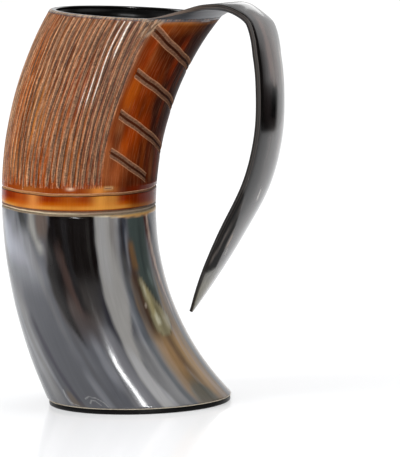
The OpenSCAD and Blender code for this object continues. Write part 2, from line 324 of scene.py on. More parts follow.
patch("#a9a9ab", [(2, -57, -46.5), (16, -57.5, -50.5), (27, -57.5, -52)], 3, 0.7, 5)
streak("#5d5552", (-44, 92), (-41.5, 66), 1.2, 3, 0.6, 8)
patch(BLUE_GREY, [(58, -38.5, -34), (70, -38.5, -33), (92, -38.5, -31.5)], 2.2, 0.97, 4)
patch("#454a50", [(2, -37.5, -33.5), (20, -39.5, -35), (38, -41.5, -36), (58, -38.5, -34)], 3,
      0.9, 2)
streak("#27201f", (-36.5, 88), (-35.5, 58), 0.4, 1.6, 0.7, 6)
patch(TAN, [(2, -33, 3), (20, -33.5, 2), (36, -34.5, 1), (48, -34, -2), (58, -33, -7)], 4.5,
      0.97, 5)
patch("#4c382d", [(33, -33, -27), (46, -33.5, -27), (60, -32.5, -27), (74, -32, -28)], 2.6, 0.9, 4)
patch("#444e4b", [(44, -16, -9), (52, -21, -7.5), (60, -26, -9), (74, -29.5, -11),
                  (92, -31, -12.5)], 3, 0.97, 3)
streak("#7f5f3e", (-28.5, 73), (-26.8, 61), 1.1, 2.4, 0.9, 2)
streak("#6f7d78", (-14.5, 60), (-13.4, 53), 0.5, 1.6, 0.6, 2)
streak("#6b5545", (-20, 31), (-17, 14), 0.8, 2.6, 0.7, 5)
streak("#a58458", (-11, 30), (-7, 8), 2.4, 4, 0.75, 5)
streak("#9c7c57", (-27, 30), (-24, 16), 2.2, 5, 0.6, 4)
streak("#8f8579", (-19, 17), (-17, 3), 0.7, 1.8, 0.8, 3)
patch("#5b605d", [(2, -31, -13), (8, -30, -14), (12, -26, -20)], 5, 0.75, 3)
streak("#4a1f16", (-13, 92), (-1, 48), 1.1, 1.7, 0.95, 4)
streak(ROSE, (-10, 90), (3.5, 42), 0.7, 1.5, 0.9, 5)
# A pale drop where the layers of the horn are worn through, with a darker line round it
DROP = np.array([(31.6, -22, -16.5), (33, -25, -12), (36, -27.2, -8.5), (39.5, -26.8, -7.2),
                 (42, -25.6, -10), (46, -25.4, -15), (51, -26.4, -19), (55, -27, -22.5),
                 (57.4, -26.8, -25)])
patch("#4b4030", DROP + [0, -1.1, 1.1], 1.4, 0.75, 0.8)
patch(OLIVE, DROP, 1.3, 1, 0.6)
patch("#a0966c", [(40, -24, -18), (47, -23.8, -18.5), (53, -25.2, -21.5)], 2.6, 0.8, 1.5)
patch("#c9c6ac", [(36.5, -22.5, -19), (39, -23, -18), (42, -21.5, -19)], 2, 0.85, 1)
patch("#a8a28e", [(35, -15, -9.5), (40, -15.5, -9)], 2.6, 0.7, 1.5)
streak("#c2bda6", (-24.8, 55), (-22.6, 47), 0.3, 1.3, 0.7, 2)
streak("#d9c9b8", (-28.2, 46.4), (-27.6, 44.6), 0.5, 0.9, 0.8, 0.5)
streak("#7c7352", (-18.5, 44.5), (-17.5, 39), 0.4, 1.8, 0.7, 1.5)
# The far side, which the photograph doesn't show, has the same growth in another order
streak("#3a3d42", (40, 92), (44, 0), 14, 10, 0.8, 3)
streak(SMOKE, (72, 92), (66, 0), 4, 5, 0.8, 8)
streak(INK, (98, 92), (90, 26), 10, 8, 0.95, 10)
streak(UMBER, (96, 80), (86, 30), 1, 3, 0.8, 6)
streak(IVORY, (121, 92), (116, 52), 2, 4, 0.7, 8)
streak(BLUE_GREY, (136, 92), (128, 2), 2.5, 5, 0.9, 5)
streak(TAN, (18, 60), (22, 0), 6, 6, 0.8, 10)
streak("#77787b", (56, 40), (60, 2), 5, 8, 0.7, 8)
streak("#8a8c90", (150, 60), (148, 2), 5, 9, 0.7, 9)
streak("#26221f", (166, 92), (170, 20), 4, 8, 0.9, 9)

# Fine streaks of the growth over all of it, slanting most at the back
growth = np.random.default_rng(5)
FINE_STREAKS = 120
for number in range(FINE_STREAKS):
    where, middle = growth.uniform(-178, 178), growth.uniform(0, 88)
    run, wide = growth.uniform(8, 24), growth.uniform(0.15, 1.1)
    tilt = 0.34 * ease(55, 115, abs(where)) * np.sign(where)
    inky = -97 < where < -55 and middle > 26 and number % 2 == 1
    streak(("#17161a", "#a3a5ab", "#221d1b", "#85837f")[number % 4],
           (where + tilt * run, middle + run), (where - tilt * run, middle - run), wide,
           wide * 2.5 + 1.2, growth.uniform(0.12, 0.34) * (0.2 if inky else 1), run / 2)

# Dye, from below the turned grooves to just short of the handle's root
dye_low = (86.3 + 0.6 * ease(-60, -130, theta) - 2.3 * ease(-78, -20, theta)
           * ease(78, 20, theta) + wave + 0.07 * np.sin(radians * 29 + 2)
           + 0.05 * np.sin(radians * 47) * np.sin(radians * 3 + 1))
dye_high = 168.2 + 20 * ease(52, 62, np.abs(theta)) + 0.25 * np.sin(radians * 9 + 1)
dyed = ease(-0.25, 0.25, level - dye_low) * ease(0.6, -0.6, level - dye_high)
dyed[skin_rows:] = 0
under = ground.copy()
# Between the flutes, ridge by ridge, then in streaks and by height
RIDGE, RUSSET, PLUM = "#87431d", "#561e07", "#2c120c"
ground[:] = linear(RIDGE)
ridge_tint = rng.uniform(-1, 1, 2 * FLUTES_A_SIDE + 4)
number = np.round(phase).astype(int) + np.where(column > 0, FLUTES_A_SIDE + 2, 0)
tint = (ridge_tint[np.maximum(number, 0)]
        + 0.7 * np.sin(level / 7.3 + 2.1 * number) * np.sin(level / 17 + 1.3 * number))
stain("#b5652b", ease(0.1, 1.5, tint) * 0.75)
stain("#4f2614", ease(-0.1, -1.5, tint) * 0.75)
stain("#7d523a", ease(120, 160, level) * ease(128, 112, side) * 0.6)
stain("#96703f", ease(132, 142, side) * 0.45)
stain("#a4541c", ease(12, 5, np.abs(side - 129)) * 0.7)
for where, top, foot, wide, code, much in (
        (-134, 160, 128, 3, "#b05a1a", 0.7), (-112, 142, 118, 2.5, "#c07c3a", 0.5),
        (-122, 128, 104, 2, "#5c1c06", 0.7), (-97, 112, 99, 4, "#a64d14", 0.6),
        (-104, 156, 126, 4, "#5f3222", 0.5), (-88, 150, 128, 3, "#8a3c24", 0.5),
        (-78, 122, 102, 3, "#9c5622", 0.5), (-141, 118, 98, 2, "#6a2206", 0.7),
        (-92, 134, 118, 2, "#b06a3a", 0.5), (-128, 116, 100, 3, "#b4713c", 0.5),
        (-66, 140, 112, 3, "#7c4a34", 0.5), (110, 150, 110, 5, "#b05a1a", 0.5),
        (86, 160, 120, 4, "#5f3222", 0.5), (150, 140, 100, 5, "#6a2206", 0.5)):
    streak(code, (where, top), (where + 3, foot), wide, wide * 2 + 3, much, 8)
stain("#8f3806", ease(104, 97, level) * 0.85)
stain("#5c3524", ease(138, 156, level) * ease(96, 118, side) * 0.35)
# The smooth panel under the handle, russet and darkest at its middle
panel = ease(PANEL_HALF - 1, PANEL_HALF - 3, side)
stain("#742d0c", panel)
stain(RUSSET, panel * ease(46, 34, np.abs(theta) + 3 * np.sin(level / 11)))
stain(PLUM, panel * 0.9 * ease(27, 8, np.abs(theta) + 2.5 * np.sin(level / 8 + 1)
                               - 6 * ease(112, 135, level) - 3 * ease(155, 165, level)))
for where, top, foot, wide, code, much in (
        (-46, 147, 130, 2, "#ad500f", 0.85), (-38, 138, 112, 2, "#8a2f04", 0.8),
        (-31, 139, 104, 1.6, "#8a3404", 0.85), (-26, 150, 118, 1, "#7a300a", 0.6),
        (-21, 124, 103, 1, "#7f3609", 0.65), (-48, 115, 98, 2.6, "#b0653a", 0.8),
        (-36, 106, 97, 2.5, "#4a1d0b", 0.5), (-44, 164, 150, 1.6, "#96481c", 0.7),
        (-8, 112, 98, 1.2, "#8a4a22", 0.6), (-36, 163, 152, 4, "#451907", 0.8),
        (-47, 129, 117, 1.5, "#b0683a", 0.5), (-40, 119, 111, 1.5, "#a84504", 0.85)):
    streak(code, (where, top), (where + 2, foot), wide, wide * 2 + 1, much, 5)
    streak(code, (-where, top + 3), (-where - 2, foot - 2), wide, wide * 2 + 1, much, 5)
stains = np.random.default_rng(11)
DYE_STREAKS = 46
for number in range(DYE_STREAKS):
    where, middle = stains.uniform(-50, 50), stains.uniform(100, 166)
    run, wide = stains.uniform(5, 13), stains.uniform(0.3, 1.5)
    streak(("#a33f04", "#43150a", "#8c2f05", "#2d0f08", "#6b2006")[number % 5],
           (where, middle + run), (where + 1.5, middle - run), wide, wide * 3 + 0.8,
           stains.uniform(0.3, 0.6) * (1 - 0.5 * (number % 5 == 0) * (abs(where) < 25)), run / 2)
stain("#a8562a", panel * np.exp(-((theta + 40) / 8) ** 2 - ((level - 106) / 8) ** 2) * 0.5)
stain("#9a4f1a", panel * ease(161, 167, level) * ease(4, 22, np.abs(theta)) * 0.35)
stain("#c8813c", panel * ease(166.8, 167.8, level) * 0.5)


NO_LIMIT = 1e9


def dye_and_highlight_spot(centre, wide, middle=0.0, tall=NO_LIMIT):
    """A soft spot of the dye, also used for one painted highlight:
    e ^ -(((angle - centre) / wide)² + ((height - middle) / tall)²).
    """
    return np.exp(-((theta - centre) / wide) ** 2 - ((level - middle) / tall) ** 2)


# The plain strip above the upper groove, and the band below it, amber at its lower edge
strip = ease(RING_H + 0.3, RING_H + 0.8, level) * ease(98.9, 96.8, level)
for centre, wide, code, much in ((-108, 9, "#a5622a", 0.7), (-54, 7, "#dc8c3c", 0.85),
                                 (-43, 4, "#b3692e", 0.5), (64, 12, "#c98136", 0.7)):
    stain(code, strip * dye_and_highlight_spot(centre, wide) * much)
# A painted highlight: a pale spot where the strip lamp glints on the plain strip
stain("#f3cfae", dye_and_highlight_spot(-75, 2.6, 97.2, 0.6) * 0.9)
stain("#6a1c02", strip * ease(38, 26, np.abs(theta)) * 0.8)
band = ease(RING_H, RING_H - 0.8, level) * ease(LOW_RING_H, LOW_RING_H + 0.6, level)
stain("#842500", band)
stain("#b85400", band * ease(92.4, 90.2, level) * 0.9)
stain("#d08c38", band * ease(90.4, 89.1, level) * 0.9)
for centre, wide, code, much in ((-116, 8, "#b4561c", 0.5), (-104, 5.5, "#d98a45", 0.8),
                                 (-75, 9, "#bf6a1a", 0.4), (-52, 7, "#dc953f", 0.9),
                                 (-43, 5, "#d08c3a", 0.65), (64, 12, "#c98136", 0.7),
                                 (104, 9, "#8a2c04", 0.6)):
    stain(code, band * dye_and_highlight_spot(centre, wide) * much)
stain("#6a1e00", band * ease(37, 22, np.abs(theta)) * (0.95 - 0.3 * dye_and_highlight_spot(0, NO_LIMIT, 88, 2)))
# The strip between the two lower grooves, the lower groove's foot and the dye's pale edge
paired = level - LOW_RING_H + fall
stain("#a08f7a", ease(0.5, 0.2, np.abs(paired + RING_GAP / 2)) * 0.9)
stain("#b99a68", ease(-RING_GAP + 0.2, -RING_GAP - 0.4, paired) * 0.9)
stain("#eddcb8", ease(0.75, 0.25, level - dye_low))
to_front = ease(52, 26, np.abs(theta))
stain("#c9904a", ease(1.2, 0.5, level - dye_low) * to_front * 0.8)
ground[:] = under + dyed[..., None] * (ground - under)
# Raw scraped horn beside the handle's root, with three dark cracks
patch("#b39a80", [(161.5, -60, -57), (165, -63.5, -53), (168.9, -67, -52)], 4, 0.85, 0.8)
for top, foot in (((-54, 169), (-58.5, 163)), ((-58, 169.4), (-62.5, 165)),
                  ((-61, 167), (-56, 164.5))):
    streak("#3b2215", top, foot, 0.25, 0.9, 0.9, 0.8)
# What the cuts lay bare under the dye
bare = np.broadcast_to(linear("#8a664b"), ground.shape).copy()
stain("#6a4526", ease(108, 126, side), bare)
stain("#70432e", panel, bare)
at_ring = ease(1.3, 0.9, np.abs(level - RING_H - wave))
stain("#bd8452", at_ring, bare)
stain("#80583f", at_ring * ease(50, 28, np.abs(theta)) * 0.9, bare)
stain("#6b5541", ease(LOW_RING_H + 1.0, LOW_RING_H + 0.6, level), bare)
stain("#92826c", ease(-RING_GAP + 0.7, -RING_GAP + 0.3, paired), bare)
stain("#33251a", ease(0.6, 0.3, nick), bare)
stain("#c2a06c", ease(0.9, 0.3, nick) * 0.45)
# The rim's outer edge is filed bare, and the lacquer of the inside runs over its top
row_number = np.arange(len(row_z))[:, None]
stain("#94826f", (1 - at_root) * (row_number >= skin_rows + 1) * (row_number < skin_rows + 4))
stain("#0a0908", (row_number >= skin_rows + 4) * 1.0 + 0 * level)


def skin_mesh(name, points, ring, box, fine=None):
    """A mesh between the rows of a grid of points (rows, columns, 3), in mm, closed along the
    columns, and the numbers of the points in use. The rows close into a ring, or each end row
    is closed by strips between its two halves. Rows that aren't `fine` use every second point,
    with five-sided faces where they meet fine ones. Points are kept inside the node's box."""
    rows, columns = points.shape[:2]
    number = np.arange(rows * columns).reshape(rows, columns)
    fine = np.ones(rows, bool) if fine is None else fine
    last = rows if ring else rows - 1
    below, above = number[:last], np.roll(number, -1, 0)[:last]
    near, far = fine[:last], np.roll(fine, -1)[:last]
    (b, b1, b2), (a, a1, a2) = ([np.roll(grid, -k, 1) for k in range(3)] for grid in (below, above))
    groups = [np.stack(sides, -1)[rows_used][:, ::step].reshape(-1, len(sides))
              for sides, rows_used, step in (((b, b1, a1, a), near & far, 1),
                                             ((b, b2, a2, a), ~near & ~far, 2),
                                             ((b, b2, a2, a1, a), ~near & far, 2),
                                             ((b, b1, b2, a2, a), near & ~far, 2))]
    if not ring:
        j = np.arange(columns // 2 - 1)
        for row, turn in ((number[0], 1), (number[-1], -1)):
            groups.append(np.stack([row[columns - 1 - j], row[columns - 2 - j], row[j + 1],
                                    row[j]], -1)[:, ::turn])
    loops = np.concatenate([group.ravel() for group in groups])
    sizes = np.concatenate([np.full(len(group), group.shape[1]) for group in groups])
    used, loops = np.unique(loops, return_inverse=True)
    mesh = bpy.data.meshes.new(name)
    mesh.vertices.add(len(used))
    flat = np.clip(points.reshape(-1, 3)[used] * MM, box[0], box[1])
    mesh.vertices.foreach_set("co", flat.ravel())
    mesh.loops.add(len(loops))
    mesh.loops.foreach_set("vertex_index", loops.ravel())
    mesh.polygons.add(len(sizes))
    mesh.polygons.foreach_set("loop_start", np.cumsum(sizes) - sizes)
    mesh.polygons.foreach_set("use_smooth", np.ones(len(sizes), bool))
    mesh.update()
    mesh.validate()
    piece = bpy.data.objects.new(name, mesh)
    bpy.context.scene.collection.objects.link(piece)
    return piece, used


def note(piece, name, used, values, colour=False):
    """Writes one value, vector or colour for each used vertex as a named attribute."""
    values = values.reshape(-1, values.shape[2] if values.ndim == 3 else 1)[used]
    if colour:
        values = np.column_stack([values, np.ones(len(values))])
    kind, field = {1: ("FLOAT", "value"), 3: ("FLOAT_VECTOR", "vector"),
                   4: ("FLOAT_COLOR", "color")}[values.shape[1]]
    attribute = piece.data.attributes.new(name, kind, "POINT")
    attribute.data.foreach_set(field, np.ascontiguousarray(values, np.float32).ravel())


def add(tree, kind, inputs=None, **settings):
    """Adds a shader node with its settings. `inputs` gives each socket a value, an output to
    link, or a node, whose first output in use is linked."""
    node = tree.nodes.new("ShaderNode" + kind)
    for key, value in settings.items():
        setattr(node, key, value)
    for key, value in (inputs or {}).items():
        if isinstance(value, bpy.types.Node):
            value = next(output for output in value.outputs if output.enabled)
        if isinstance(value, bpy.types.NodeSocket):
            tree.links.new(value, node.inputs[key])
        else:
            node.inputs[key].default_value = value
    return node


def new_material(name):
    """A material with an empty node tree, and that tree."""
    material = bpy.data.materials.new(name)
    material.use_nodes = True
    material.node_tree.nodes.clear()
    return material, material.node_tree


def rgba(code):
    """Linear colour of a hex code with an alpha of 1."""
    return (*linear(code), 1)


def finish_with(tree, **inputs):
    """Puts the surface shader and the output node at the end of a material."""
    names = {key.replace("_", " "): value for key, value in inputs.items()}
    add(tree, "OutputMaterial", {"Surface": add(tree, "BsdfPrincipled", names)})


points = horn_points(theta, level, inset)
fine_rows = np.zeros(len(row_z), bool)
fine_rows[len(FOOT_ROUND) + len(low_rows):rim.stop] = True
fine_rows[:len(FOOT_ROUND) + 12] = True
body, used = skin_mesh("horn_body_carved", points, True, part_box("horn_body"), fine_rows)
length, depth, _, _ = section_sizes(level)
straight = np.stack([length * np.cos(radians), depth * np.sin(radians), level], -1)
note(body, "straight", used, straight)
note(body, "cut", used, upright)
note(body, "pair", used, pair)
note(body, "in_pair", used, in_pair)
note(body, "painted_light_side", used, painted_light_side)
# Smears of the foot's glue, as the distance in mm from each point to the nearest one
smear = np.full_like(level, 9.0)
for line in (((-118.5, 9.8), (-119.6, 6.6), (-118, 4.4), (-112, 3.2)),
             ((-103.5, 6.6), (-100, 7.7), (-95.5, 7.1), (-92, 5.3), (-91, 3.4)),
             ((-102, 4.6), (-99.5, 6.2), (-97, 5.8), (-95, 4.0)), ((38, 7), (44, 9), (49, 6.5))):
    for (x0, z0), (x1, z1) in zip(line, line[1:]):
        dx, dz = (x1 - x0) * DEGREE, z1 - z0
        px, pz = (theta - x0) * DEGREE, level - z0
        share = np.clip((px * dx + pz * dz) / (dx * dx + dz * dz), 0, 1)
        smear = np.minimum(smear, np.hypot(px - share * dx, pz - share * dz))
note(body, "smear", used, smear)
note(body, "bare", used, bare, colour=True)
note(body, "ground", used, ground, colour=True)

# Cattle horn, scraped and buffed: keratin has fine fibres along the horn, slow clouds of tone
# and a wet gloss. Grains are across and along the horn in mm, and a noise's values lie in
# NOISE_SPAN.
FIBRE_MM, CLOUD_MM = (0.8, 0.8, 30.0), (5.0, 5.0, 40.0)
NOISE_SPAN = {"From Min": 0.3, "From Max": 0.7}


def grains(tree, place, sizes, detail, roughness=0.6):
    """Noise whose grains measure `sizes` along x, y and z, in the unit of `place`."""
    at = add(tree, "VectorMath", {0: place, 1: [1 / size for size in sizes]},
             operation="MULTIPLY")
    return add(tree, "TexNoise", {"Vector": at, "Scale": 1.0, "Detail": detail,
                                  "Roughness": roughness})


def horn_fibre(tree, contrast):
    """The ground colour with fibres and clouds along the horn, and the fibres. The clouds are
    half as strong again as the fibres, up to 0.15."""
    clouds = min(0.15, 1.5 * contrast)
    place = add(tree, "Attribute", attribute_name="straight").outputs["Vector"]
    base = add(tree, "Attribute", attribute_name="ground")
    fibre = grains(tree, place, FIBRE_MM, 4.0)
    lift, drift = (add(tree, "MapRange", {"Value": noise, "To Min": 1 - much, "To Max": 1 + much,
                                          **NOISE_SPAN})
                   for noise, much in ((fibre, contrast),
                                       (grains(tree, place, CLOUD_MM, 3.0), clouds)))
    shade = add(tree, "Math", {0: lift, 1: drift}, operation="MULTIPLY")
    return add(tree, "VectorMath", {0: base, "Scale": shade}, operation="SCALE"), fibre


def buffed_sheen(tree, fibre, low, high):
    """Roughness of buffed horn, from `low` to `high` as its fibres rise."""
    return add(tree, "MapRange", {"Value": fibre, "From Min": 0.25, "From Max": 0.8,
                                  "To Min": low, "To Max": high})


HORN_IOR = 1.54
polished, tree = new_material("cattle_horn_buffed")
skin, fibre = horn_fibre(tree, 0.05)
glued = add(tree, "MapRange", {
    "Value": add(tree, "Attribute", attribute_name="smear").outputs["Fac"], "From Min": 0.42,
    "From Max": 0.1, "To Max": 0.28})
skin = add(tree, "Mix", {0: glued, 6: skin, 7: rgba("#c9c8c4")}, data_type="RGBA")
bump = add(tree, "Bump", {"Height": fibre, "Strength": 0.15, "Distance": 0.00005})
finish_with(tree, Base_Color=skin, Roughness=buffed_sheen(tree, fibre, 0.1, 0.2), IOR=HORN_IOR,
            Specular_IOR_Level=0.36, Normal=bump)

# The same horn dyed tan. Where it is fluted it is dull and scratched all over, and the panel is
# scraped smooth; the cuts stay raw and matt in both, with the gouge's marks across them.
TICK_MM, SPECK_MM, SCRATCH_MM = (1.6, 1.6, 0.6), (0.42, 0.42, 0.924), (0.45, 0.45, 9.0)
RAW_ROUGH = 0.6


def weigh(tree, *masks):
    """The product of masks. A mask is a node, or (value, low, high) with a top of 1, or with
    another top after them: a smooth weight, 0 where the value is at `low`, `top` at `high`."""
    weight = None
    for mask in masks:
        if isinstance(mask, tuple):
            value, low, high, top = (*mask, 1.0)[:4]
            mask = add(tree, "MapRange", {"Value": value, "From Min": low, "From Max": high,
                                          "To Max": top}, interpolation_type="SMOOTHSTEP")
        weight = mask if weight is None else add(tree, "Math", {0: weight, 1: mask},
                                                 operation="MULTIPLY")
    return weight


def lay_over(tree, colour, *layers):
    """Lays hex colours over one, each by the product of its masks: c + w (new - c)."""
    for code, *masks in layers:
        colour = add(tree, "Mix", {0: weigh(tree, *masks), 6: colour, 7: rgba(code)},
                     data_type="RGBA")
    return colour


def dyed_material(name, fibres, specks, gloss, gloss_rough):
    """Dyed horn with its cuts, as far as the contrast of its fibres and specks and its gloss."""
    material, tree = new_material(name)
    skin, fibre = horn_fibre(tree, fibres)
    place = add(tree, "Attribute", attribute_name="straight").outputs["Vector"]
    edge, painted_light_bank, pair_at, in_pair = (add(tree, "Attribute", attribute_name=name).outputs["Fac"]
                                    for name in ("cut", "painted_light_side", "pair", "in_pair"))
    # The slanting pairs are finer than the mesh, so their edges are worked out here
    off_middle = add(tree, "Math", {0: pair_at}, operation="ABSOLUTE")
    off_track = add(tree, "Math", {0: off_middle, 1: TRACK_OUT}, operation="SUBTRACT")
    off_track = add(tree, "Math", {0: off_track}, operation="ABSOLUTE")
    off_track = add(tree, "Math", {0: off_track, 1: TRACK_HALF}, operation="SUBTRACT")
    off_track = add(tree, "Mix", {0: in_pair, 2: PAST_CUTS, 3: off_track})
    edge = add(tree, "Math", {0: edge, 1: off_track}, operation="MINIMUM")
    # Painted light and shade on the slanting pairs: each track's outer rim lit, its rim towards the
    # pair's middle in shade
    pair_light_bank = add(tree, "MapRange", {"Value": off_middle, "From Min": 0.8, "From Max": 1.2,
                                       "To Min": -0.6, "To Max": 0.5})
    painted_light_bank = add(tree, "Math", {0: in_pair, 1: pair_light_bank, 2: painted_light_bank}, operation="MULTIPLY_ADD")
    tick = add(tree, "MapRange", {"Value": grains(tree, place, TICK_MM, 3.0), **NOISE_SPAN})
    speck = grains(tree, place, SPECK_MM, 2.0)
    scratch = grains(tree, place, SCRATCH_MM, 2.0)
    tick_tone, tick_fill, tick_rim = (
        add(tree, "MapRange", {"Value": tick, "To Min": low, "To Max": high})
        for low, high in ((0.81 - specks, 1.14 + specks), (0.15, 0.75), (0.45, 1.0)))
    raw = add(tree, "VectorMath", {0: add(tree, "Attribute", attribute_name="bare"),
                                   "Scale": tick_tone}, operation="SCALE")
    # Painted shade darkens the deepest part of each cut; the tracks of the slanting pairs are tan
    raw = lay_over(tree, raw, ("#35261b", (edge, -0.28, -0.46, 0.45)),
                   ("#94705a", in_pair, tick_fill))
    in_cut = weigh(tree, (edge, 0.2, -0.25))
    colour = add(tree, "Mix", {0: in_cut, 6: skin, 7: raw}, data_type="RGBA")
    # Scratches, painted shade and painted light on the rims of the cuts, painted glints, and
    # painted shade on the ridge inside a pair
    colour = lay_over(
        tree, colour, ("#cf9468", (scratch, 0.5, 0.68, specks * 1.6)),
        ("#431a0c", (scratch, 0.48, 0.32, specks * 2.0)),
        ("#2a150b", (edge, 0.36, 0.12), (edge, -0.3, -0.04), (painted_light_bank, 0.1, -0.8, 0.85)),
        ("#dba67c", (edge, 0.32, 0.14), (edge, -0.16, 0.0), (painted_light_bank, 0.0, 0.8, 0.95), tick_rim),
        ("#fff4e8", (edge, 0.45, 0.2), (edge, -0.3, -0.1), (painted_light_bank, 1.0, 1.9, 0.95)),
        ("#2c130a", in_pair, (off_middle, 0.34, 0.14, 0.72)))
    speck_tone, sheen = (
        add(tree, "MapRange", {"Value": noise, "To Min": low, "To Max": high, **NOISE_SPAN})
        for noise, low, high in ((speck, 1 - specks, 1 + specks),
                                 (fibre, gloss_rough, gloss_rough + 0.14)))
    colour = add(tree, "VectorMath", {0: colour, "Scale": speck_tone}, operation="SCALE")
    rough = add(tree, "Mix", {0: in_cut, 2: sheen, 3: RAW_ROUGH})
    relief = add(tree, "Math", {0: fibre, 1: 0.1, 2: weigh(tree, tick, in_cut)},
                 operation="MULTIPLY_ADD")
    bump = add(tree, "Bump", {"Height": relief, "Strength": 0.8, "Distance": 0.0002})
    finish_with(tree, Base_Color=colour, Roughness=rough, IOR=HORN_IOR, Specular_IOR_Level=gloss,
                Normal=bump)
    return material


fluted_horn = dyed_material("cattle_horn_dyed_gouged", 0.22, 0.36, 0.26, 0.18)
panel_horn = dyed_material("cattle_horn_dyed_scraped", 0.12, 0.07, 0.004, 0.2)
band_horn = dyed_material("cattle_horn_dyed_buffed", 0.03, 0.03, 0.07, 0.12)
first = np.empty(len(body.data.polygons), np.int32)
body.data.polygons.foreach_get("loop_start", first)
corner = np.empty(len(body.data.loops), np.int32)
body.data.loops.foreach_get("vertex_index", corner)
UNCUT, BAND_HIGH = 0.35, 97.2
finish_number = np.where(level < BAND_HIGH, 3, np.where(side < PANEL_HALF, 2, 1))
finish_number[(dyed < 0.5) & (cut > UNCUT)] = 0
finish_number[skin_rows:skin_rows + 4] = 1
finish_number = finish_number.ravel()[used][corner[first]]
for material in (polished, fluted_horn, panel_horn, band_horn):
    body.data.materials.append(material)
body.data.polygons.foreach_set("material_index", finish_number.astype(np.int32))
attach(body, "root")
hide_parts("horn_body")

# ------------------------------------------------------------------- handle
# The handle is a tongue of the same horn, left standing at the front of the mouth, softened
# in hot oil, bent over outwards and drawn down to a free point. Its edges are filed.
HANDLE_REACH, HANDLE_DROP, HANDLE_HALF, HANDLE_T = 25.4, 126.9, 15.8, 2.8
TIP_HALF, TIP_T, CROWN, LEAN, ROOT_DIP = 0.8, 1.4, 2.4, 1.3, 2.4
PATH = np.array([[0, 0], [0.2, 0.026], [0.4, 0.041], [0.62, 0.029], [0.845, -0.022],
                 [0.97, -0.109], [1.015, -0.235], [0.95, -0.4], [0.69, -0.57], [0.18, -0.743],
                 [-0.345, -0.905], [-0.655, -0.997]]) * [HANDLE_REACH, HANDLE_DROP]
STEPS = 18
SPREAD, NECK, TURN, CROWN_RUN, TAPER, TAPER_POWER = 0.16, 0.12, 0.09, 0.25, 0.6, 2.6
EDGE_FILED = 0.35

rim_length, rim_depth, rim_middle, _ = (float(size[0]) for size in section_sizes(
    np.array([MOUTH_H])))
root_b = rim_depth - MOUTH_WALL / 2
root_a = rim_length * root_b / rim_depth
root_x, root_z = rim_middle + root_a, MOUTH_H - FALL_SLOPE * root_a
root_turn = math.radians(ROOT_HALF_ANGLE)
root_half = root_b * math.sin(root_turn)
root_bow = root_a * (1 - math.cos(root_turn))


def smooth_line(nodes, steps):
    """Points and directions of a Catmull-Rom curve through the nodes: q + t (r - p) / 2 + ..."""
    padded = np.concatenate([nodes[:1], nodes, nodes[-1:]])
    spans = len(nodes) - 1
    at = np.append(np.arange(spans * steps) / steps, spans - 1e-9)
    at = np.insert(at, 1, 0.004)
    i = np.floor(at).astype(int)
    t = (at - i)[:, None]
    p, q, r, s = (padded[i + k] for k in range(4))
    bend, twist = 2 * p - 5 * q + 4 * r - s, 3 * q - p - 3 * r + s
    return (q + t * (r - p) / 2 + t * t * bend / 2 + t ** 3 * twist / 2,
            (r - p) / 2 + t * bend + 1.5 * t * t * twist)


def fade(share, end, power):
    """1 at the root and 0 from the share `end` of the strap on: (1 - share / end)^power."""
    return np.maximum(0, 1 - share / end) ** power


spine, way = smooth_line(PATH + [root_x, root_z], STEPS)
run = np.concatenate([[0], np.cumsum(np.hypot(*np.diff(spine, axis=0).T))])
handle_length = run[-1]
along = (run / handle_length)[:, None]
tapered = 1 - (np.maximum(0, along - TAPER) / (1 - TAPER)) ** TAPER_POWER
neck = fade(along, NECK, 1.5)
spread = fade(along, SPREAD, 1.4)
half_wide = root_half * neck + (TIP_HALF + (HANDLE_HALF - TIP_HALF) * tapered) * (1 - neck)
thick = MOUTH_WALL * spread + (TIP_T + (HANDLE_T - TIP_T) * tapered) * (1 - spread)
turn = fade(along, TURN, 2)
out = np.radians((np.degrees(np.arctan2(way[:, 1:], way[:, :1])) + 90) * (1 - turn)
                 + (180 - MOUTH_FALL) * turn)
crown = CROWN * (1 - fade(along, CROWN_RUN, 1)) ** 1.5 * tapered
dip = ROOT_DIP * 4 * spread * spread * (1 - spread)


def handle_point(u, lift):
    """Points of the strap: u runs from -1 at the near edge to 1 at the far edge, and lift from
    -1 to 1 through its thickness. The section goes over from the mouth's own arc at the root
    to a shallow crown: line + bow (spread root arc - dip - crown) + lift thick / 2 outwards."""
    arc = (1 - np.cos(root_turn * u)) / (1 - math.cos(root_turn))
    bow = spread * arc + (1 - spread) * u * u
    roll = root_turn * u * spread
    reach = lift * thick / 2
    x = (spine[:, :1] + bow * (-spread * root_bow - crown * np.cos(out))
         + reach * np.cos(roll) * np.cos(out))
    z = (spine[:, 1:] + bow * (spread * root_bow * FALL_SLOPE - dip - crown * np.sin(out))
         + reach * np.cos(roll) * np.sin(out) - LEAN * u * (1 - spread) * tapered)
    y = (half_wide * (spread * np.sin(root_turn * u) / math.sin(root_turn)
                      + (1 - spread) * u) - reach * np.sin(roll))
    return np.stack([x, y, z], -1)


# Half a loop of the section, from the near edge over the outer face to the far edge, as how
# far each point is drawn in from the edge and its lift; the other half is its mirror image.
# The middle of each edge stands out as one line between two filed facets.
EDGE_SHAPE = np.array([[0, 0.05], [0.1, 0.16], [0.4, 0.42], [0.6, 0.58], [0.75, 0.68],
                       [1.0, 0.8], [1.45, 0.93], [2.2, 1.0]])
FACE_STEPS = 25
filed = np.minimum(EDGE_FILED / half_wide, 0.2)
edge_u = 1 - filed * EDGE_SHAPE[:, 0]
face_u = edge_u[:, -1:] * np.linspace(-1, 1, FACE_STEPS)
face_lift = np.ones_like(face_u)
edge_lift = np.broadcast_to(EDGE_SHAPE[:, 1], edge_u.shape)
half_u = np.concatenate([-edge_u[:, :-1], face_u, edge_u[:, -2::-1]], 1)
half_lift = np.concatenate([edge_lift[:, :-1], face_lift, edge_lift[:, -2::-1]], 1)
u = np.concatenate([half_u, half_u[:, ::-1]], 1)
lift = np.concatenate([half_lift, -half_lift[:, ::-1]], 1)
strap = handle_point(u, lift)
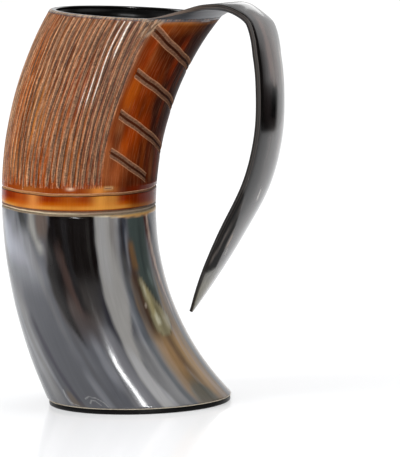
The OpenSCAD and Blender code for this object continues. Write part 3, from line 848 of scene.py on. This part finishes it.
handle, used = skin_mesh("horn_handle_strap", strap, False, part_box("horn_handle"))
mm_along = np.broadcast_to(along * handle_length, u.shape)
strap_at = np.stack([u * half_wide, lift, mm_along], -1)
# Its colours, by mm across from the middle line and mm down from the root: near black, browner
# and streaked on the upper half, with scratches, and grey horn at the point
ground = np.broadcast_to(linear("#1d1817"), u.shape + (3,)).copy()
grain_x, grain_y = u * half_wide, -mm_along
stain("#46413f", ease(66, 74, mm_along + 5 * u) * 0.9)
streak("#0c0a09", (-16, -8), (-12, -128), 3.5, 4, 0.9, 10)
patch("#302829", [(-64, -12, -2), (-50, -12.5, 4), (-24, -12, 7)], 5, 0.8, 8)
streak("#75605a", (-7.2, -24), (-5.6, -50), 0.8, 3.2, 0.8, 5)
streak("#6a5a55", (0.5, -30), (-1, -62), 0.6, 2.4, 0.6, 5)
streak("#4f413b", (-3, -24), (-3, -58), 0.8, 1.6, 0.7, 4)
streak("#6a5f59", (-4.8, -44), (-4.4, -62), 0.4, 1.4, 0.6, 3)
streak("#6a605c", (3.5, -30), (3, -56), 0.5, 1.6, 0.6, 4)
streak("#1e1a19", (-11, -46), (-10.5, -70), 1.5, 2, 0.6, 5)
patch("#040303", [(-67.5, -8.5, -4.5), (-64, -8.5, -1), (-58, -8, 1.4), (-54, -7, -1)], 1.4, 1, 1)
streak("#c4beb8", (-3.0, -97.5), (-2.0, -103), 0.15, 0.9, 0.75, 0.8)
streak("#c4beb8", (0.1, -98.5), (-1.7, -103.5), 0.15, 0.9, 0.75, 0.8)
streak("#b09a88", (-6.9, -121), (-6.5, -127), 0.1, 0.7, 0.7, 1)
streak("#94847e", (6.4, -68), (5.8, -84), 0.4, 1.2, 0.7, 4)
streak("#b5a59c", (8.2, -37), (7.6, -52), 0.5, 1.6, 0.7, 4)
streak("#a9a49c", (-4.2, -128), (-3.6, -131), 0.2, 0.8, 0.6, 0.8)
streak("#24201f", (1.5, -84), (0.5, -128), 1.4, 3, 0.5, 8)
patch("#6f6d64", [(-165, -12, 12), (-137, -14, 14)], 2, 0.85, 3)
streak("#86806c", (-3, -144), (-3, -160), 2.5, 3, 0.6, 4)
# Painted shade along the near edge of the lower half: a strip painted near black where the strap
# reflects little light, and made matt
flat_edge = np.interp(mm_along, [96, 108, 119, 131, 140], [-1.05, -0.8, -0.55, -0.5, -0.4])
painted_dark_flat = (ease(0.05, -0.06, u - flat_edge) * ease(95, 98, mm_along)
                * ease(141, 138, mm_along + 6 * (u + 0.7)) * (lift > 0.1))
stain("#040303", painted_dark_flat * 0.97)
streak("#7a706a", (-13.2, -104), (-11.6, -137), 0.1, 0.9, 0.55, 4)
streak("#8a827c", (-8.4, -118), (-7.9, -128), 0.05, 0.7, 0.6, 2)
stain("#4c4d52", ease(0.3, -0.3, lift))
stain("#17181d", ease(0.3, -0.3, lift) * ease(-0.35, -0.9, u) * ease(30, 6, mm_along))
stain("#2a2624", ease(0.3, -0.3, lift) * ease(14, 40, mm_along))
at_edge = ease(0.84, 0.7, np.abs(lift))
near_edge = at_edge * (u < 0)
stain("#0a0705", near_edge * 0.97)
# Painted highlights: two pale lines on the crests of the near edge, fainter further down
far_down = ease(30, 60, mm_along) + ease(90, 110, mm_along)
stain("#6b5547", (np.abs(lift) < 0.1) * near_edge * (0.4 - 0.15 * far_down))
stain("#7b6455", ease(0.12, 0.02, np.abs(lift - 0.6)) * (u < 0) * (0.3 - 0.1 * far_down))
stain("#7d6553", at_edge * ease(16, 2, mm_along) * 0.6)
note(handle, "straight", used, strap_at)
note(handle, "filed", used, np.maximum(np.maximum(0.45 * at_edge, painted_dark_flat),
                                       0.24 * ease(0.3, -0.3, lift)))
note(handle, "ground", used, ground, colour=True)

# The same horn without dye, buffed to a wet gloss; its filed edges and the strip of painted shade
# stay matt
strap_horn, tree = new_material("cattle_horn_bent_buffed")
skin, fibre = horn_fibre(tree, 0.16)
matt = add(tree, "Attribute", attribute_name="filed").outputs["Fac"]
sheen = add(tree, "Mix", {0: matt, 2: buffed_sheen(tree, fibre, 0.08, 0.2), 3: 1.0})
bump = add(tree, "Bump", {"Height": fibre, "Strength": 0.25, "Distance": 0.00006})
finish_with(tree, Base_Color=skin, Roughness=sheen, IOR=HORN_IOR, Specular_IOR_Level=0.5,
            Normal=bump)
handle.data.materials.append(strap_horn)
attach(handle, "root")
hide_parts("horn_handle")

# ------------------------------------------------------------- inner lining
# Black food-safe lacquer, poured in and swilled round, so that it covers the inside wall and
# the plug's seal with one skin and ends just below the rim.
LINING_T, LINING_DROP, PLUG_T, SEAL_W, LINING_AROUND = 0.6, 1.2, 12.0, 3.0, 160
plug_top = SEAT_H + PLUG_T
seal_top = plug_top + SEAL_W
wet = np.linspace(seal_top, MOUTH_H - LINING_DROP, 44)
lining_in = np.concatenate([
    [wall(plug_top) + SEAL_W], wall(wet), wall(wet[::-1]) + LINING_T * np.clip(
        (wet[-1] - wet[::-1]) / 1.5 + 0.1, 0, 1), [wall(plug_top) + SEAL_W + LINING_T]])
lining_z = np.concatenate([[plug_top], wet, wet[::-1], [plug_top + LINING_T]])
lining_z[-2] += LINING_T
pool = np.array([0.75, 0.5, 0.25, 0.08, 0.01])
lining_angle = np.arange(LINING_AROUND) * 360 / LINING_AROUND
wall_grid = horn_points(lining_angle[None], lining_z[:, None], lining_in[:, None])


def floor_grid(edge_loop, lift_by=0.0):
    """Loops of a flat floor inside an edge loop, shrinking towards its middle."""
    centre = edge_loop.mean(0)
    return centre + (edge_loop - centre) * pool[:, None, None] + [0, 0, lift_by]


lining_points = np.concatenate([floor_grid(wall_grid[0])[::-1], wall_grid,
                                floor_grid(wall_grid[-1])])
lining, _ = skin_mesh("inner_lining_skin", lining_points, False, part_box("inner_lining"))


def grained(name, sizes_mm, detail, dark, light, rough, bump=None, gloss=0.5):
    """A material of two tones that follow grains of the given sizes in mm. `rough` is one
    roughness, or a pair that follows the grains, and `bump` a strength and a depth in mm."""
    material, tree = new_material(name)
    where = add(tree, "TexCoord").outputs["Object"]
    grain = grains(tree, where, [size * MM for size in sizes_mm], detail, 0.5)
    tone = add(tree, "Mix", {0: grain, 6: rgba(dark), 7: rgba(light)}, data_type="RGBA")
    finish = {"Base_Color": tone, "Roughness": rough, "Specular_IOR_Level": gloss}
    if isinstance(rough, tuple):
        finish["Roughness"] = add(tree, "MapRange", {"Value": grain, "To Min": rough[0],
                                                     "To Max": rough[1]})
    if bump:
        finish["Normal"] = add(tree, "Bump", {"Height": grain, "Strength": bump[0],
                                              "Distance": bump[1] * MM})
    finish_with(tree, **finish)
    return material


# Poured lacquer is deep black and wet, with slow runs down the wall
lacquer = grained("black_lacquer_poured", (3.85, 3.85, 45.5), 2.0, "#050505", "#0f0e0e",
                  (0.24, 0.4), (0.35, 0.6), 0.2)
lining.data.materials.append(lacquer)
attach(lining, "root")
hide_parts("inner_lining")

# ------------------------------------------------------- base plug and seal
# A turned wooden plug closes the wide end from below, with a bead of resin run round its top.
# Both are shut in by the horn, the lining and the disc.

# Turned beech is pale brown with short fine grain, and poured epoxy is amber and faintly cloudy
wood = grained("beech_turned", (11.1, 1.11, 2.0), 4.0, "#8f6a45", "#c39a6b", 0.62, (0.3, 0.3))
resin = grained("epoxy_resin_poured", (3.85, 3.85, 3.85), 3.0, "#a88848", "#cdb274", 0.2)
for name, material, slot in (("base_plug", wood, "plug_wood"), ("seal_bead", resin, "resin")):
    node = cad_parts[name]
    node.data.materials.clear()
    node.data.materials.append(material)

# ------------------------------------------------- glue line and foot disc
# A disc of black-lacquered wood closes the foot. It is glued on, and the pale glue shows as a
# thin line all round, with smears of it wiped up onto the horn.
DISC_T, DISC_INSET, GLUE_T, DISC_AROUND = 2.2, 0.6, 0.4, 240
disc_angle = np.arange(DISC_AROUND) * 360 / DISC_AROUND


def slab(levels, insets):
    """Loops of a flat piece at the foot: the horn's own outline at its seat, each loop at its
    height and drawn in by its inset, with the two faces closed towards the middle."""
    insets = np.broadcast_to(np.asarray(insets, float).reshape(len(levels), -1),
                             (len(levels), DISC_AROUND))
    rings = horn_points(disc_angle[None], np.full((len(levels), 1), SEAT_H), insets)
    rings[..., 2] = np.asarray(levels, float)[:, None]
    return np.concatenate([floor_grid(rings[0])[::-1], rings, floor_grid(rings[-1])])


ripple = (0.12 * np.sin(np.radians(disc_angle * 11)) + 0.1 * np.sin(np.radians(disc_angle * 29))
          + 0.06 * np.sin(np.radians(disc_angle * 71)))
squeeze = np.stack([DISC_INSET / 2 + 0.25 + 0 * ripple, 0.3 + ripple, 0.3 + ripple,
                    DISC_INSET / 2 + 0.25 + 0 * ripple])
bead = slab([DISC_T, DISC_T + 0.1, DISC_T + 0.3, DISC_T + GLUE_T], squeeze)
glue, _ = skin_mesh("glue_line_bead", bead, False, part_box("glue_line"))
# Dried wood glue is cream with darker crumbs of dust in it
dried = grained("wood_glue_dried", (1.11, 1.11, 1.11), 3.0, "#a3927a", "#e8dfcd", 0.5,
                (0.5, 0.3))
glue.data.materials.append(dried)
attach(glue, "root")
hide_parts("glue_line")

DISC_EDGE = np.array([[0, 0.62], [0.05, 0.3], [0.22, 0.08], [0.5, 0], [1.75, 0],
                      [2.0, 0.08], [2.15, 0.3], [2.2, 0.6]])
disc, _ = skin_mesh("foot_disc_turned", slab(DISC_EDGE[:, 0], DISC_EDGE[:, 1] + DISC_INSET),
                    False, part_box("foot_disc"))
# Lacquered wood is black with a low gloss, and its pores run round the turned edge
black = grained("wood_black_lacquered", (6.67, 6.67, 0.556), 3.0, "#060606", "#100f0f",
                (0.25, 0.5), (0.4, 0.2), 0.12)
disc.data.materials.append(black)
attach(disc, "root")
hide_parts("foot_disc")

# ------------------------------------------------------------------- studio
# White acrylic table with a faint reflection, white behind for the eye and for gloss, a dim
# room in front, and soft lamps. The table's edges are in metres from the cup.
VIEW_AZIMUTH, FRONT_EDGE, LEFT_EDGE, RIGHT_EDGE, BACK_EDGE = 20.0, 0.42, 0.6, 0.46, 4.0
TABLE_GLOW, WORLD_LIGHT = 0.32, 0.36
floor_mesh = bpy.data.meshes.new("floor")
corners = np.array([(-LEFT_EDGE, -FRONT_EDGE), (RIGHT_EDGE, -FRONT_EDGE),
                    (RIGHT_EDGE, BACK_EDGE), (-LEFT_EDGE, BACK_EDGE)])
turn_by = math.radians(VIEW_AZIMUTH)
corners = corners @ np.array([[math.cos(turn_by), math.sin(turn_by)],
                              [-math.sin(turn_by), math.cos(turn_by)]])
floor_mesh.from_pydata([(x, y, 0) for x, y in corners.tolist()], [], [(0, 1, 2, 3)])
floor = bpy.data.objects.new("floor", floor_mesh)
bpy.context.scene.collection.objects.link(floor)
acrylic, tree = new_material("acrylic_sheet_white")
seen = add(tree, "LightPath")
eye = add(tree, "Math", {0: seen.outputs["Is Camera Ray"], 1: seen.outputs["Is Glossy Ray"]},
          operation="MAXIMUM")
table_top = add(tree, "BsdfPrincipled", {"Base Color": rgba("#e9eaec"), "Roughness": 0.08,
                                         "Specular IOR Level": 0.3})
shine = add(tree, "Emission", {"Color": (1, 1, 1, 1), "Strength": add(
    tree, "Math", {0: eye, 1: TABLE_GLOW}, operation="MULTIPLY")})
both = add(tree, "AddShader", {0: table_top, 1: shine})
add(tree, "OutputMaterial", {"Surface": both})
floor_mesh.materials.append(acrylic)

world = bpy.data.worlds.new("studio")
bpy.context.scene.world = world
world.use_nodes = True
tree = world.node_tree
tree.nodes.clear()
seen = add(tree, "LightPath")
heading = add(tree, "TexCoord").outputs["Generated"]
height = add(tree, "SeparateXYZ", {0: heading}).outputs["Z"]
# Towards what lies behind the cup, to its right, and to the dimmer corner at the left
behind, rightward, cornerward = (
    add(tree, "VectorMath", {0: heading, 1: (math.cos(a), math.sin(a), 0)},
        operation="DOT_PRODUCT") for a in (math.radians(98), turn_by, math.radians(150)))
backdrop = add(tree, "MapRange", {"Value": behind, "From Min": 0.5, "From Max": 0.7,
                                  "To Min": 0.02, "To Max": 1.0},
               interpolation_type="SMOOTHSTEP")
above = add(tree, "Math", {0: weigh(tree, (height, -0.1, -0.065)),
                           1: weigh(tree, (rightward, 0.7, 0.62))}, operation="MAXIMUM")
corner_dim = weigh(tree, (cornerward, 0.62, 0.74, 0.4), (height, 0.1, 0.2))
corner_lit = add(tree, "Math", {0: 1.0, 1: corner_dim}, operation="SUBTRACT")
room = weigh(tree, backdrop, above, corner_lit)
lit = add(tree, "Mix", {0: seen.outputs["Is Glossy Ray"], 2: WORLD_LIGHT, 3: room})
plain = add(tree, "Math", {0: seen.outputs["Is Camera Ray"],
                           1: seen.outputs["Is Transmission Ray"]}, operation="MAXIMUM")
sky = add(tree, "Background", {"Color": (1, 1, 1, 1),
                               "Strength": add(tree, "Mix", {0: plain, 2: lit, 3: 1.0})})
add(tree, "OutputWorld", {"Surface": sky})

# Soft boxes aimed at the cup's middle: name, bearing, elevation, distance, size, roll, power.
# The two strips draw the long highlights down the horn.
AIM = Vector((0.0, 0.0, 0.085))
for name, bearing, elevation, distance, size, roll, power in (
        ("lamp_strip", -74.5, 15, 1.5, (0.11, 0.44), 29, 8.0),
        ("lamp_low_strip", -89, -19, 1.2, (0.1, 0.26), 0, 2.6),
        ("lamp_left", -150, 40, 1.4, (0.5, 0.7), 0, 9.0),
        ("lamp_right", 0, 42, 1.5, (0.9, 0.9), 0, 4.0),
        ("lamp_behind", 94, 23, 1.6, (0.5, 0.5), 0, 1.4),
        ("lamp_above", 60, 75, 1.6, (1.0, 1.0), 0, 7.0)):
    lamp = bpy.data.lights.new(name, "AREA")
    lamp.shape = "RECTANGLE"
    lamp.size, lamp.size_y = size
    lamp.energy = power
    a, e = math.radians(bearing), math.radians(elevation)
    offset = Vector((math.cos(a) * math.cos(e), math.sin(a) * math.cos(e), math.sin(e)))
    holder = bpy.data.objects.new(name, lamp)
    tip = Matrix.Rotation(math.radians(roll), 4, "Z")
    holder.matrix_world = (Matrix.Translation(AIM + offset * distance)
                           @ offset.to_track_quat("Z", "Y").to_matrix().to_4x4() @ tip)
    holder.visible_camera = False
    bpy.context.scene.collection.objects.link(holder)

# ------------------------------------------------------------------- camera
# Level with the cup's upper half, 1.3 m away, tipped as the photograph is
VIEW_ELEVATION, VIEW_ROLL, VIEW_DISTANCE = 6.94, -2.56, 1300.0
VIEW_AT = Vector((31.6, 0.0, 75.8))
FOCAL_PIXELS, IMAGE_HEIGHT, SENSOR = 3023.26, 457, 36.0
a, e, roll = (math.radians(v) for v in (VIEW_AZIMUTH, VIEW_ELEVATION, VIEW_ROLL))
back = Vector((math.sin(a) * math.cos(e), -math.cos(a) * math.cos(e), math.sin(e)))
right = Vector((math.cos(a), math.sin(a), 0))
upward = back.cross(right)
right, upward = (right * math.cos(roll) + upward * math.sin(roll),
                 upward * math.cos(roll) - right * math.sin(roll))
lens = bpy.data.cameras.new("camera")
lens.sensor_fit = "VERTICAL"
lens.sensor_height = SENSOR
lens.lens = FOCAL_PIXELS / IMAGE_HEIGHT * SENSOR
camera = bpy.data.objects.new("camera", lens)
turned_to = Matrix((right, upward, back)).transposed().to_4x4()
turned_to.translation = (VIEW_AT + back * VIEW_DISTANCE) * MM
camera.matrix_world = turned_to
bpy.context.scene.collection.objects.link(camera)
bpy.context.scene.camera = camera
bpy.context.scene.view_settings.view_transform = "Standard"
